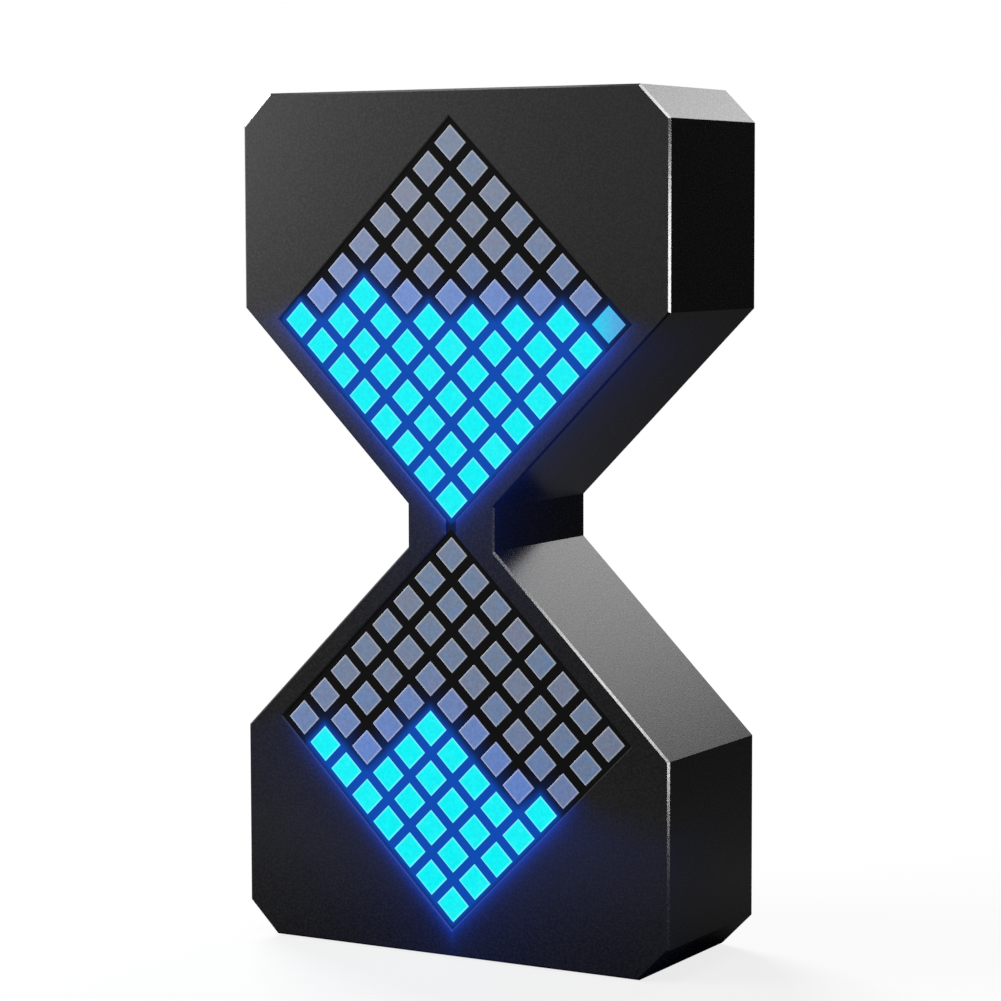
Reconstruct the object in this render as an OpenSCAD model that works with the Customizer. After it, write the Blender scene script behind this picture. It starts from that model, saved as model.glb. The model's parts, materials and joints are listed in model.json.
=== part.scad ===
// Electronic hourglass timer: a black hourglass-shaped case with two diamond light
// matrices in front, a screwed rear cover with the controls, and boards and cell inside.
// Units are millimetres. +Z is up, the display faces -Y, +X is to the right of someone
// facing the display, and the origin is the middle of the lower feet's underside.

/* [Display] */
// Distance between neighbouring light cells
cell_pitch = 6.2; // [6:0.05:6.8]
// Side of one square light window
window = 4.54; // [4:0.02:4.8]
// Play around a window in its hole of the grid
window_play = 0.05; // [0.03:0.01:0.1]
// Gap between the facing corners of the two cell fields, at the neck
tip_gap = 0.8; // [0.4:0.1:2]
// Black border of the grid outside each cell field
grid_border = 0.1; // [0.05:0.05:0.3]
// Play between the grid and the opening of the case
grid_play = 0.05; // [0.03:0.01:0.08]
// Width of the slot that joins the two diamonds at the neck
neck_slot = 2; // [1:0.1:3]
// Depth of the grid's face below the front face
grid_recess = 0.3; // [0.2:0.05:0.8]
// Depth of the windows below the grid's face
window_sink = 0.1; // [0.05:0.05:0.4]
// Thickness of the flange that holds the grid behind the front wall
grid_flange_t = 0.8; // [0.6:0.1:1.4]
// Thickness of the diffuser sheet that carries the windows
diffuser_t = 0.8; // [0.6:0.1:1.4]
// Side of one square light well
well = 5; // [4.6:0.1:5.4]
// Depth of the light wells
well_h = 5; // [4:0.1:7]

/* [Body] */
// From the side corner of a cell field to the side face of the case
side_margin = 7.3; // [6.8:0.1:12]
// From the outer corner of a cell field to the end face of the case
end_margin = 4.8; // [4.4:0.1:10]
// From the edge of a cell field to the sloping face of the case
slope_margin = 3.7; // [3.5:0.1:6]
// Height of the straight neck
neck_h = 7.6; // [6:0.2:16]
// 45 degree cut on the four outer corners
corner_cut = 5.7; // [4:0.1:8]
// Depth of the case from front face to rear face
body_d = 33; // [32:0.5:45]
// Thickness of the side walls
wall = 2; // [1.7:0.1:2.2]
// Thickness of the front wall
front_wall = 2; // [1.6:0.1:3]
// Bevel around the front face
front_bevel = 0.35; // [0.2:0.05:0.8]
// Bevel around the rear rim
rear_bevel = 0.4; // [0.2:0.05:0.6]
// Bevel around the display opening
opening_bevel = 0.2; // [0.1:0.05:0.25]

/* [Rear cover] */
// Thickness of the rear cover
cover_t = 2.4; // [2.2:0.1:3.4]
// Width of the rim around the rear cover
rim = 1.1; // [0.9:0.05:1.3]
// Play between the cover and the rim
cover_play = 0.1; // [0.05:0.01:0.2]
// Bevel around the rear cover
cover_bevel = 0.3; // [0.1:0.05:0.4]
// Depth of the pocket around the controls
pocket_depth = 0.8; // [0.5:0.1:1]
// Height of the control pocket
pocket_h = 14; // [12:0.5:16]
// Radius of one sound hole
sound_hole_r = 0.7; // [0.4:0.05:0.9]
// Distance between neighbouring sound holes
sound_pitch = 2.6; // [2.2:0.1:3]

/* [Controls] */
// Radius of a push button's cap
button_r = 3.2; // [2.6:0.1:4]
// Play around a button in its hole
button_play = 0.08; // [0.05:0.01:0.1]
// Width of the flange that keeps a button in the case
button_lip = 1; // [0.6:0.1:1.6]
// How far a button can be pressed
press_travel = 0.5; // [0.3:0.05:0.8]
// Length of the power knob along its slide
knob_l = 5; // [4:0.1:6]
// Width of the power knob
knob_w = 3.4; // [2.8:0.1:4]
// How far the power knob slides
slide_travel = 2; // [1.5:0.1:3]
// Depth of the controls' tops below the rear face
control_sink = 0.2; // [0.1:0.05:0.4]
// Height of the marks beside the controls
mark_h = 2; // [1.4:0.1:2.4]
// Depth of the marks
mark_depth = 0.2; // [0.1:0.05:0.3]

/* [Boards] */
// Thickness of the circuit boards
board_t = 1.6; // [1:0.1:2]
// Play between a light board and the case walls
board_play = 0.5; // [0.3:0.1:1]
// Length of the main board
main_l = 64; // [62:1:68]
// Height of the main board
main_h = 27; // [26:0.5:30]
// Space between the main board and the rear cover
main_gap = 6.5; // [6.5:0.1:9]
// Side of one light-emitting diode
led = 3.2; // [2:0.1:3.6]
// Height of one light-emitting diode
led_h = 1.4; // [0.8:0.1:2]

/* [Power and sound] */
// Length of the battery across the case
battery_l = 50; // [40:1:52]
// Height of the battery
battery_h = 34; // [28:1:36]
// Thickness of the battery
battery_t = 8; // [5:0.5:10]
// Thickness of the tape that holds the battery
tape_t = 0.8; // [0.4:0.1:1.5]
// Radius of the loudspeaker
speaker_r = 9; // [7.5:0.5:10]
// Thickness of the loudspeaker
speaker_t = 4.5; // [3:0.5:5.5]
// Thickness of the speaker's sealing ring
gasket_t = 0.8; // [0.4:0.1:1.2]

/* [Fasteners] */
// Radius of a cover screw's shank
cover_screw_r = 1.1; // [0.9:0.05:1.3]
// Radius of a cover screw's head
cover_head_r = 2; // [1.8:0.1:2.2]
// Radius of a board screw's shank
board_screw_r = 0.95; // [0.8:0.05:1.1]
// Radius of a board screw's head
board_head_r = 1.8; // [1.6:0.1:2]
// Wall of the bosses around the screws
boss_wall = 1.4; // [1.2:0.1:1.8]
// Thickness of the foot strips
foot_t = 1; // [0.8:0.1:1.4]
// How far the foot strips stand proud of the case
foot_proud = 0.2; // [0.1:0.05:0.4]
// Length of a foot strip
foot_l = 56; // [30:1:64]
// Width of a foot strip
foot_w = 6; // [4:0.5:8]

/* [Hidden] */
$fn = 48;
root2 = sqrt(2);
cut_over = 1;            // how far a cut runs past the face that it opens
embed = 0.4;             // how deep a boss or rib is rooted in its wall
thread_play = 0.02;      // between a screw's shank and its pilot hole
hole_play = 0.2;         // around a screw's shank where it passes freely
seat_play = 0.1;         // around a glued or clipped piece in its seat

// Outline of the case, measured from its middle
cells = 8;
field_half = cells * cell_pitch / 2;
field_diag = field_half * root2;
matrix_z = field_diag + tip_gap / 2;
half_w = field_diag + side_margin;
half_h = matrix_z + field_diag + end_margin;
slope_c = slope_margin * root2 - tip_gap / 2;
neck_half_h = neck_h / 2;
neck_half_w = neck_half_h + slope_c;
shoulder_z = half_w - slope_c;
mid_z = half_h + foot_proud;

// Depths, measured from the front face backwards
flange_back = front_wall + grid_flange_t;
sheet_back = flange_back + diffuser_t;
board_front = sheet_back + well_h;
board_back = board_front + board_t;
cover_front = body_d - cover_t;
pocket_floor = body_d - pocket_depth;
main_back = cover_front - main_gap;
main_front = main_back - board_t;
control_top = body_d - control_sink;

// Light stack behind the front wall
stack_play = 0.8;
stack_half = field_half + slope_margin - wall - stack_play;
stack_split = 0.15;      // half the gap between the upper and the lower stack, at the neck
grid_hole = window + 2 * window_play;

// Screw places, measured from the inner walls
cover_boss_r = cover_screw_r + boss_wall;
board_boss_r = board_screw_r + boss_wall;
corner_inset = 3.6;
shoulder_rise = 4;
corner_boss = [half_w - wall - corner_inset, half_h - wall - corner_inset];
shoulder_boss = [half_w - wall - corner_inset, shoulder_z + shoulder_rise];
cover_bosses = [corner_boss, shoulder_boss];
post_gap = 0.6;          // between the light stack and the posts of its board
post_spread = 14;        // from the middle of the stack's edge to a post
post_reach = stack_half + post_gap + board_boss_r;
post_near = (post_reach - post_spread) / root2;
post_far = (post_reach + post_spread) / root2;
board_posts = [[post_near, matrix_z + post_far], [post_far, matrix_z + post_near]];
counterbore = 1.4;
cover_head_h = 1.2;
cover_screw_l = 8;
board_head_h = 1.1;
board_screw_l = 6;
pilot_spare = 0.6;       // how far a pilot hole runs past the screw's end
recess_w = 0.5;          // width of the cross in a screw's head
recess_d = 0.6;          // depth of that cross

// Main board and what stands on it
main_rise = 14.5;        // middle of the main board above the middle of the upper matrix
main_z = matrix_z + main_rise;
post_inset = 3.2;
main_post = [main_l / 2 - post_inset, main_h / 2 - post_inset];
control_rise = 2;
control_z = main_z + control_rise;
pocket_inset = 1;
pocket_l = main_l - 2 * pocket_inset;
pocket_round = 3;
switch_inset = 11;
switch_x = switch_inset - main_l / 2;
button_step = 13;
mode_x = -button_step / 2;
set_x = button_step / 2;
usb_inset = 11.5;
usb_x = main_l / 2 - usb_inset;
mark_drop = 5.4;         // middle of the marks below the middle of the controls
mark_line = 0.4;
mark_step = 2.2;         // from the switch's middle to each of its two marks
tact_side = 6;
tact_h = 3.5;
stem_r = 1.75;
stem_sink = 0.8;         // length of a stem inside its switch
lip_t = 1;
lip_play = 0.1;          // between a button's flange and the cover
lip_back = cover_front - lip_play;
lip_front = lip_back - lip_t;
button_crown = 0.4;      // bevel around a button's top
switch_l = 8.6;
switch_w = 4.4;
switch_h = 3.6;
lever = 1.5;
lever_sink = 1.2;        // length of the lever inside the switch
knob_lip = 1.6;          // how far the knob's flange reaches past its sides
knob_lip_t = 0.8;
knob_play = 0.1;
knob_ribs = 3;
knob_rib_d = 0.3;
knob_x = switch_x - slide_travel / 2;
knob_root = 0.6;         // length of the lever inside the knob
usb_w = 8.94;
usb_h = 3.26;
usb_wall = 0.3;
usb_play = 0.2;
usb_floor = 1.4;
usb_sink = 0.2;
usb_mouth = pocket_floor - usb_sink;
tongue_w = 6.7;
tongue_h = 0.7;
tongue_short = 0.7;      // how far the tongue stays behind the mouth
pipe_r = 1;
pipe_lip_r = 1.7;
pipe_lip_t = 0.8;
pipe_gap = 2.5;          // from the inlet's side to the middle of the charge light
charge_rise = 4;
charge_place = [usb_x - usb_w / 2 - pipe_gap, control_z + charge_rise];
charge_led_l = 2;
charge_led_w = 1.2;
charge_led_h = 0.8;

// Chips, plugs and headers
driver_chip = [10, 6.4, 1.6];
driver_x = 11.5;
driver_rise = 7;
driver_place = [driver_x, matrix_z + driver_rise];
link_socket = [12.5, 4.4, 2.2];
link_z = 13;
ribbon_w = 10;
ribbon_t = 0.4;
header_l = 13;
header_w = 5.2;
header_inset = 5;        // from the main board's upper edge to the middle of the header
header_z = main_z + main_h / 2 - header_inset;
header_strip_h = 2.5;
header_stand = 1.3;      // bare length of the pins between strip and socket
header_socket_h = main_front - board_back - header_strip_h - header_stand;
header_floor = 2.5;      // solid foot of the socket below the pins' ends
header_pitch = 2.54;
pin = 0.64;
pin_play = 0.08;
pin_grip = header_socket_h - header_floor;
controller_size = [7, 7, 1];
controller_place = [-main_l / 4, main_z];
sensor_size = [3, 3, 1];
sensor_place = [-main_l / 16, main_z - main_h / 6];
charger_size = [5, 4, 1.6];
charger_place = [main_l / 3.6, main_z + main_h / 12];
lead_socket = [8, 5, 4.8];
lead_socket_place = [main_l / 6, main_z - main_h / 3.3];
lead_plug = [6, 5, 3.6];
plug_grip = 2.5;         // length of the plug inside its socket

// Battery, speaker and their wires
battery_drop = 11;       // middle of the battery below the middle of the lower matrix
battery_z = -(matrix_z + battery_drop);
battery_round = 2.5;
tape_inset = 5;
rib_t = 1.2;
rib_h = 4;
rib_l = 9;
battery_play = 0.3;
speaker_drop = 13;       // middle of the speaker below the middle of the upper matrix
speaker_z = matrix_z - speaker_drop;
gasket_w = 1.6;
ring_t = 1.1;
ring_h = 3.4;
sound_rings = 2;
wire_r = 0.6;
wire_sides = 8;
wire_steps = 4;          // rings of a wire between two points of its route
lead_gap = 2;            // half the distance between the two wires of a lead
lead_shift = 1;          // how far the battery leads leave the battery to the right
lead_run = 3;            // straight start and end of a lead
lead_rise = 6;           // from the neck's ends to where a lead bends
pad_inset = 4;           // from the main board's edge to the speaker pads
foot_inset = 9;
foot_y = body_d / 2 - foot_inset;

function lead_route(x0, x1) = let(
    start = [x0, cover_front - tape_t - battery_t / 2, battery_z + battery_h / 2],
    stop = [x1, main_front - lead_socket[2] / 2, lead_socket_place[1] - lead_socket[1] / 2
        - lead_plug[1] + plug_grip],
    mid_w = (start[1] + stop[1]) / 2) [
    start,
    [start[0], start[1], start[2] + lead_run],
    [start[0], mid_w, -neck_half_h - lead_rise],
    [start[0], stop[1], 0],
    [start[0], stop[1], neck_half_h + lead_rise],
    [stop[0], stop[1], stop[2] - lead_run],
    stop];

function speaker_route(x) = let(
    face = cover_front - gasket_t - speaker_t,
    bend = min(face, main_front) - lead_run,
    low_z = speaker_z + speaker_r / 3,
    pad_z = main_z - main_h / 2 + pad_inset) [
    [x, face, low_z],
    [x, (face + bend) / 2, low_z],
    [x, bend, low_z + pad_inset],
    [x, bend, pad_z - lead_run],
    [x, (main_front + bend) / 2, pad_z],
    [x, main_front, pad_z]];

// Outline points, clockwise as seen from the front

function quarter(d) = let(t = d * (root2 - 1)) [
    [half_w - corner_cut - t, half_h - d],
    [half_w - d, half_h - corner_cut - t],
    [half_w - d, shoulder_z + t],
    [neck_half_w - d, neck_half_h + t]];

function flip_x(points) = [for (p = points) [-p[0], p[1]]];
function flip_z(points) = [for (p = points) [p[0], -p[1]]];
function reversed(points) = [for (i = [len(points) - 1 : -1 : 0]) points[i]];

// The case's outline, drawn in by d all round
function outline(d) = concat(quarter(d), reversed(flip_z(quarter(d))),
    flip_x(flip_z(quarter(d))), reversed(flip_x(quarter(d))));
outline_patches = [[0, 1, 2, 3, 12, 13, 14, 15], [3, 4, 11, 12], [4, 5, 6, 7, 8, 9, 10, 11]];

// Two diamonds and the slot between them, let out by g past the cell fields
function opening(g) = let(
    reach = (field_half + g) * root2,
    slot = neck_slot / 2 + g - grid_border,
    slot_z = matrix_z - reach + slot) [
    [0, matrix_z + reach], [reach, matrix_z], [slot, slot_z], [slot, -slot_z],
    [reach, -matrix_z], [0, -matrix_z - reach], [-reach, -matrix_z], [-slot, -slot_z],
    [-slot, slot_z], [-reach, matrix_z]];
opening_patches = [[0, 1, 2, 8, 9], [2, 3, 7, 8], [3, 4, 5, 6, 7]];

// Placing helpers

// Extrudes a front-view shape between two depths
module slab(from, to) {
    translate([0, to - body_d / 2, mid_z])
        rotate([90, 0, 0])
            linear_extrude(height = to - from)
                children();
}

// Places a turned shape, drawn along +Z, at a front-view point with its axis backwards
module turned(place, depth) {
    translate([place[0], depth - body_d / 2, mid_z + place[1]])
        rotate([-90, 0, 0])
            children();
}

// Joins front-view outlines at given depths, each [depth, points], into one solid; patches
// lists the point numbers of the convex pieces that close both ends
module ring_stack(rings, patches) {
    n = len(rings[0][1]);
    last = (len(rings) - 1) * n;
    points = [for (ring = rings, p = ring[1]) [p[0], ring[0] - body_d / 2, p[1] + mid_z]];
    sides = [for (k = [0 : len(rings) - 2], i = [0 : n - 1])
        [k * n + i, (k + 1) * n + i, (k + 1) * n + (i + 1) % n, k * n + (i + 1) % n]];
    back = [for (patch = patches) [for (i = reversed(patch)) last + i]];
    polyhedron(points, concat(patches, back, sides));
}

module mirrored_x() {
    children();
    mirror([1, 0, 0]) children();
}

module mirrored_z() {
    children();
    mirror([0, 1, 0]) children();
}

// Repeats a front-view child at each place, in all four quarters of the case
module at_quarters(places) {
    for (p = places) mirrored_x() mirrored_z() translate(p) children();
}

// Repeats a front-view child at each place, on both sides of the upper bulb
module at_sides(places) {
    for (p = places) mirrored_x() translate(p) children();
}

module rounded_rect(l, h, r) {
    square([l - 2 * r, h], center = true);
    square([l, h - 2 * r], center = true);
    for (x = [-1, 1], z = [-1, 1])
        translate([x * (l / 2 - r), z * (h / 2 - r)]) circle(r);
}

module stadium(l, h) {
    square([l - h, h], center = true);
    for (x = [-1, 1]) translate([x * (l - h) / 2, 0]) circle(h / 2);
}

// Repeats a child at every cell of one matrix, turned with the grid
module each_cell() {
    step = cell_pitch / root2;
    for (i = [0 : cells - 1], j = [0 : cells - 1])
        translate([(i - j) * step, (i + j - cells + 1) * step])
            rotate(45)
                children();
}

module at_matrix(side) {
    translate([0, side * matrix_z]) children();
}

// One light stack layer, cut off at the neck so that the two stacks don't meet
module stack_plate(side) {
    intersection() {
        at_matrix(side) rotate(45) square(2 * stack_half, center = true);
        translate([0, side * (half_h + stack_split)])
            square([2 * half_w, 2 * half_h], center = true);
    }
}

// Screw along the depth, its head's underside at depth seat; dir is 1 when the shank points backwards
module screw(place, seat, dir, shank_r, head_r, head_h, length) {
    head_from = min(seat, seat - dir * head_h);
    shank_from = min(seat, seat + dir * length);
    outer = seat - dir * head_h;
    difference() {
        union() {
            turned(place, head_from) cylinder(r = head_r, h = head_h);
            turned(place, shank_from) cylinder(r = shank_r, h = length);
        }
        for (turn = [0, 90])
            turned(place, outer - recess_d)
                rotate(turn)
                    translate([-head_r * 0.6, -recess_w / 2, 0])
                        cube([head_r * 1.2, recess_w, 2 * recess_d]);
    }
}

// Pilot hole for a screw, from depth seat along dir
module pilot(place, seat, dir, r, length) {
    turned(place, min(seat, seat + dir * length)) cylinder(r = r, h = length);
}

// Direction of a route at a point, no longer than the shorter stretch beside it
function bend_at(p, i) = i == 0 ? p[1] - p[0]
    : i == len(p) - 1 ? p[i] - p[i - 1]
    : unit(p[i + 1] - p[i - 1]) * min(norm(p[i] - p[i - 1]), norm(p[i + 1] - p[i]));

function hermite(a, da, b, db, t) = (2 * t ^ 3 - 3 * t ^ 2 + 1) * a + (t ^ 3 - 2 * t ^ 2 + t) * da
    + (3 * t ^ 2 - 2 * t ^ 3) * b + (t ^ 3 - t ^ 2) * db;

function smooth(p) = concat(
    [for (i = [0 : len(p) - 2], s = [0 : wire_steps - 1])
        hermite(p[i], bend_at(p, i), p[i + 1], bend_at(p, i + 1), s / wire_steps)],
    [p[len(p) - 1]]);

function unit(v) = v / norm(v);

// A wire of round section along points [x, depth, z]; it never runs along X
module wire(route) {
    p = smooth(route);
    n = len(p);
    tangents = [for (i = [0 : n - 1])
        i == 0 ? unit(route[1] - route[0])
        : i == n - 1 ? unit(route[len(route) - 1] - route[len(route) - 2])
        : unit(p[i + 1] - p[i - 1])];
    points = [for (i = [0 : n - 1])
        let(u = unit(cross(tangents[i], [1, 0, 0])), v = cross(tangents[i], u))
        for (k = [0 : wire_sides - 1])
            let(a = 360 * k / wire_sides) p[i] + wire_r * (cos(a) * u + sin(a) * v)];
    sides = [for (i = [0 : n - 2], k = [0 : wire_sides - 1])
        let(a = i * wire_sides + k, b = i * wire_sides + (k + 1) % wire_sides)
        each [[a, b, b + wire_sides], [a, b + wire_sides, a + wire_sides]]];
    caps = [[for (k = [wire_sides - 1 : -1 : 0]) k],
        [for (k = [0 : wire_sides - 1]) (n - 1) * wire_sides + k]];
    translate([0, -body_d / 2, mid_z]) polyhedron(points, concat(sides, caps));
}

// Case

module case_block() {
    ring_stack([[0, outline(front_bevel)], [front_bevel, outline(0)],
        [body_d - rear_bevel, outline(0)], [body_d, outline(rear_bevel)]], outline_patches);
}

module foot_strip(l, w) {
    for (y = [-1, 1]) translate([0, y * foot_y]) stadium(l, w);
}

module foot_seats() {
    depth = foot_t - foot_proud;
    for (end = [-1, 1])
        translate([0, 0, mid_z + end * (half_h - depth / 2 + cut_over / 2)])
            linear_extrude(height = depth + cut_over, center = true)
                foot_strip(foot_l + 2 * seat_play, foot_w + 2 * seat_play);
}

module housing() {
    color("#262729")
        difference() {
            union() {
                difference() {
                    case_block();
                    slab(front_wall, body_d + cut_over) polygon(outline(wall));
                }
                slab(front_wall - embed, cover_front) at_quarters(cover_bosses) circle(cover_boss_r);
                slab(front_wall - embed, board_front) at_quarters(board_posts) circle(board_boss_r);
            }
            slab(cover_front, body_d + cut_over) polygon(outline(rim));
            slab(-cut_over, front_wall + cut_over) polygon(opening(grid_border));
            ring_stack([[-opening_bevel, opening(grid_border + 2 * opening_bevel)],
                [opening_bevel, opening(grid_border)]], opening_patches);
            slab(cover_front - cover_screw_l - pilot_spare, body_d)
                at_quarters(cover_bosses) circle(cover_screw_r + thread_play);
            slab(board_front - board_screw_l + board_t - pilot_spare, board_front + cut_over)
                at_quarters(board_posts) circle(board_screw_r + thread_play);
            foot_seats();
        }
}

module battery_ribs() {
    l = battery_l / 2 + battery_play;
    h = battery_h / 2 + battery_play;
    for (x = [-1, 1], z = [-1, 1])
        translate([0, battery_z])
            scale_sign(x, z)
                translate([l, h - rib_l]) square([rib_t, rib_l]);
    for (x = [-1, 1], z = [-1, 1])
        translate([0, battery_z])
            scale_sign(x, z)
                translate([l - rib_l, h]) square([rib_l + rib_t, rib_t]);
}

// Mirrors a front-view child drawn in the upper right quarter into the quarter of the two signs
module scale_sign(x, z) {
    mirror([x < 0 ? 1 : 0, 0]) mirror([0, z < 0 ? 1 : 0]) children();
}

module sound_holes() {
    for (q = [-sound_rings : sound_rings], s = [-sound_rings : sound_rings])
        if (abs(q + s) <= sound_rings)
            translate([sound_pitch * (q + s / 2), speaker_z + sound_pitch * s * sqrt(3) / 2])
                circle(sound_hole_r);
}

module main_posts() {
    for (x = [-1, 1], z = [-1, 1])
        translate([x * main_post[0], main_z + z * main_post[1]]) children();
}

module at_controls(x) {
    translate([x, control_z]) children();
}

module at_marks(x) {
    translate([x, control_z - mark_drop]) children();
}

// On and off, three bars, a plus and a flash, cut below the controls that they belong to
module control_marks() {
    at_marks(switch_x - mark_step) square([mark_line, mark_h], center = true);
    at_marks(switch_x + mark_step)
        difference() {
            circle(mark_h / 2);
            circle(mark_h / 2 - mark_line);
        }
    at_marks(mode_x)
        for (k = [-1, 0, 1])
            translate([0, k * (mark_h - mark_line) / 2]) square([mark_h, mark_line], center = true);
    at_marks(set_x) {
        square([mark_h, mark_line], center = true);
        square([mark_line, mark_h], center = true);
    }
    at_marks(usb_x)
        scale(mark_h / 2)
            polygon([[0.25, 1], [-0.65, -0.15], [-0.05, -0.15], [-0.25, -1], [0.65, 0.15], [0.05, 0.15]]);
}

module rear_cover() {
    inset = rim + cover_play;
    knob_slot_l = knob_l + slide_travel + 2 * knob_play;
    color("#242527")
        difference() {
            union() {
                ring_stack([[cover_front, outline(inset)], [body_d - cover_bevel, outline(inset)],
                    [body_d, outline(inset + cover_bevel)]], outline_patches);
                slab(main_back, cover_front + embed) main_posts() circle(board_boss_r);
                slab(cover_front - ring_h, cover_front + embed)
                    translate([0, speaker_z])
                        difference() {
                            circle(speaker_r + seat_play + ring_t);
                            circle(speaker_r + seat_play);
                        }
                slab(cover_front - rib_h, cover_front + embed) battery_ribs();
            }
            slab(pocket_floor, body_d + cut_over)
                translate([0, control_z]) rounded_rect(pocket_l, pocket_h, pocket_round);
            slab(pocket_floor - mark_depth, body_d + cut_over) control_marks();
            slab(cover_front - cut_over, body_d + cut_over) {
                at_controls(mode_x) circle(button_r + button_play);
                at_controls(set_x) circle(button_r + button_play);
                at_controls(switch_x) square([knob_slot_l, knob_w + 2 * knob_play], center = true);
                at_controls(usb_x) stadium(usb_w + 2 * usb_play, usb_h + 2 * usb_play);
                translate(charge_place) circle(pipe_r + seat_play);
                sound_holes();
                at_quarters(cover_bosses) circle(cover_screw_r + hole_play);
            }
            slab(body_d - counterbore, body_d + cut_over)
                at_quarters(cover_bosses) circle(cover_head_r + hole_play);
            slab(main_back - cut_over, main_back + board_screw_l - board_t + pilot_spare)
                main_posts() circle(board_screw_r + thread_play);
        }
}

// Light stack

module grid_mask() {
    color("#141416")
        difference() {
            union() {
                slab(grid_recess, front_wall) polygon(opening(grid_border - grid_play));
                slab(front_wall, flange_back) {
                    stack_plate(1);
                    stack_plate(-1);
                    square([neck_slot, 2 * neck_half_h], center = true);
                }
            }
            for (side = [-1, 1])
                slab(grid_recess - cut_over, flange_back + cut_over)
                    at_matrix(side) each_cell() square(grid_hole, center = true);
        }
}

module diffuser(side) {
    color("#c9cede") {
        slab(flange_back, sheet_back) stack_plate(side);
        slab(grid_recess + window_sink, flange_back)
            at_matrix(side) each_cell() square(window, center = true);
    }
}

module light_wells(side) {
    color("#e8e8e4")
        slab(sheet_back, board_front)
            difference() {
                stack_plate(side);
                at_matrix(side) each_cell() square(well, center = true);
            }
}

// The case's inner outline on one side of the neck, with room for the bosses
module board_plate(side) {
    difference() {
        intersection() {
            polygon(outline(wall + board_play));
            translate([0, side * (half_h + 2 * stack_split)])
                square([2 * half_w, 2 * half_h], center = true);
        }
        at_quarters(cover_bosses) circle(cover_boss_r + board_play);
        at_quarters(board_posts) circle(board_screw_r + hole_play);
    }
}

module led_board(side) {
    color("#1d3b2a") slab(board_front, board_back) board_plate(side);
}

module leds(side) {
    color("#f2efe2")
        slab(board_front - led_h, board_front)
            at_matrix(side) each_cell() square(led, center = true);
}

module driver_chips() {
    color("#18181a")
        slab(board_back, board_back + driver_chip[2])
            at_quarters([driver_place]) square([driver_chip[0], driver_chip[1]], center = true);
}

module link_sockets() {
    color("#e6e2d6")
        slab(board_back, board_back + link_socket[2])
            mirrored_z()
                translate([0, link_z])
                    difference() {
                        square([link_socket[0], link_socket[1]], center = true);
                        translate([0, -link_socket[1] / 2])
                            square([ribbon_w + 2 * seat_play, link_socket[1]], center = true);
                    }
}

module link_ribbon() {
    color("#d9dde2")
        slab(board_back + (link_socket[2] - ribbon_t) / 2, board_back + (link_socket[2] + ribbon_t) / 2)
            square([ribbon_w, 2 * link_z - 2 * seat_play], center = true);
}

// Main board

module main_board() {
    color("#1d3b2a")
        slab(main_front, main_back)
            difference() {
                translate([0, main_z]) rounded_rect(main_l, main_h, 1.5);
                main_posts() circle(board_screw_r + hole_play);
            }
}

// A chip on the front side of the main board
module front_chip(place, size) {
    slab(main_front - size[2], main_front) translate(place) square([size[0], size[1]], center = true);
}

module controller_chip() {
    color("#18181a") front_chip(controller_place, controller_size);
}

module motion_sensor() {
    color("#18181a") front_chip(sensor_place, sensor_size);
}

module charger_chip() {
    color("#18181a") front_chip(charger_place, charger_size);
}

module each_pin() {
    for (i = [-2 : 2], j = [-0.5, 0.5])
        translate([i * header_pitch, header_z + j * header_pitch]) children();
}

module header_socket() {
    top = board_back + header_socket_h;
    color("#18181a")
        difference() {
            slab(board_back, top) translate([0, header_z]) square([header_l, header_w], center = true);
            slab(top - pin_grip - pilot_spare, top + cut_over)
                each_pin() square(pin + 2 * pin_play, center = true);
        }
}

module header_pins() {
    color("#c8a64a") {
        slab(main_front - header_strip_h, main_front)
            translate([0, header_z]) square([header_l, header_w], center = true);
        slab(board_back + header_socket_h - pin_grip, main_front - header_strip_h)
            each_pin() square(pin, center = true);
    }
}

module usb_shell() {
    color("#b9bcc0")
        difference() {
            slab(main_back, usb_mouth) at_controls(usb_x) stadium(usb_w, usb_h);
            slab(main_back + usb_floor, usb_mouth + cut_over)
                at_controls(usb_x) stadium(usb_w - 2 * usb_wall, usb_h - 2 * usb_wall);
        }
}

module usb_tongue() {
    color("#1b1b1d")
        slab(main_back + usb_floor, usb_mouth - tongue_short)
            at_controls(usb_x) square([tongue_w, tongue_h], center = true);
}

module tact_switches() {
    top = main_back + tact_h;
    color("#2a2a2c")
        difference() {
            slab(main_back, top)
                for (x = [mode_x, set_x]) at_controls(x) square(tact_side, center = true);
            slab(top - stem_sink - press_travel - seat_play, top + cut_over)
                for (x = [mode_x, set_x]) at_controls(x) circle(stem_r + button_play);
        }
}

module stem(x) {
    color("#d8d8d8")
        slab(main_back + tact_h - stem_sink, lip_front) at_controls(x) circle(stem_r);
}

module button(x) {
    color("#3a3b3e") {
        slab(lip_front, lip_back) at_controls(x) circle(button_r + button_lip);
        slab(lip_back, control_top - button_crown) at_controls(x) circle(button_r);
        turned([x, control_z], control_top - button_crown)
            cylinder(r1 = button_r, r2 = button_r - button_crown, h = button_crown);
    }
}

module switch_body() {
    top = main_back + switch_h;
    color("#a9adb1")
        difference() {
            slab(main_back, top) at_controls(switch_x) square([switch_l, switch_w], center = true);
            slab(top - lever_sink - seat_play, top + cut_over)
                at_controls(switch_x)
                    square([lever + slide_travel + 2 * knob_play, lever + 2 * knob_play], center = true);
        }
}

module switch_lever() {
    color("#e4e2da")
        slab(main_back + switch_h - lever_sink, cover_front - lip_play - knob_lip_t + knob_root)
            at_controls(knob_x) square(lever, center = true);
}

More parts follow.
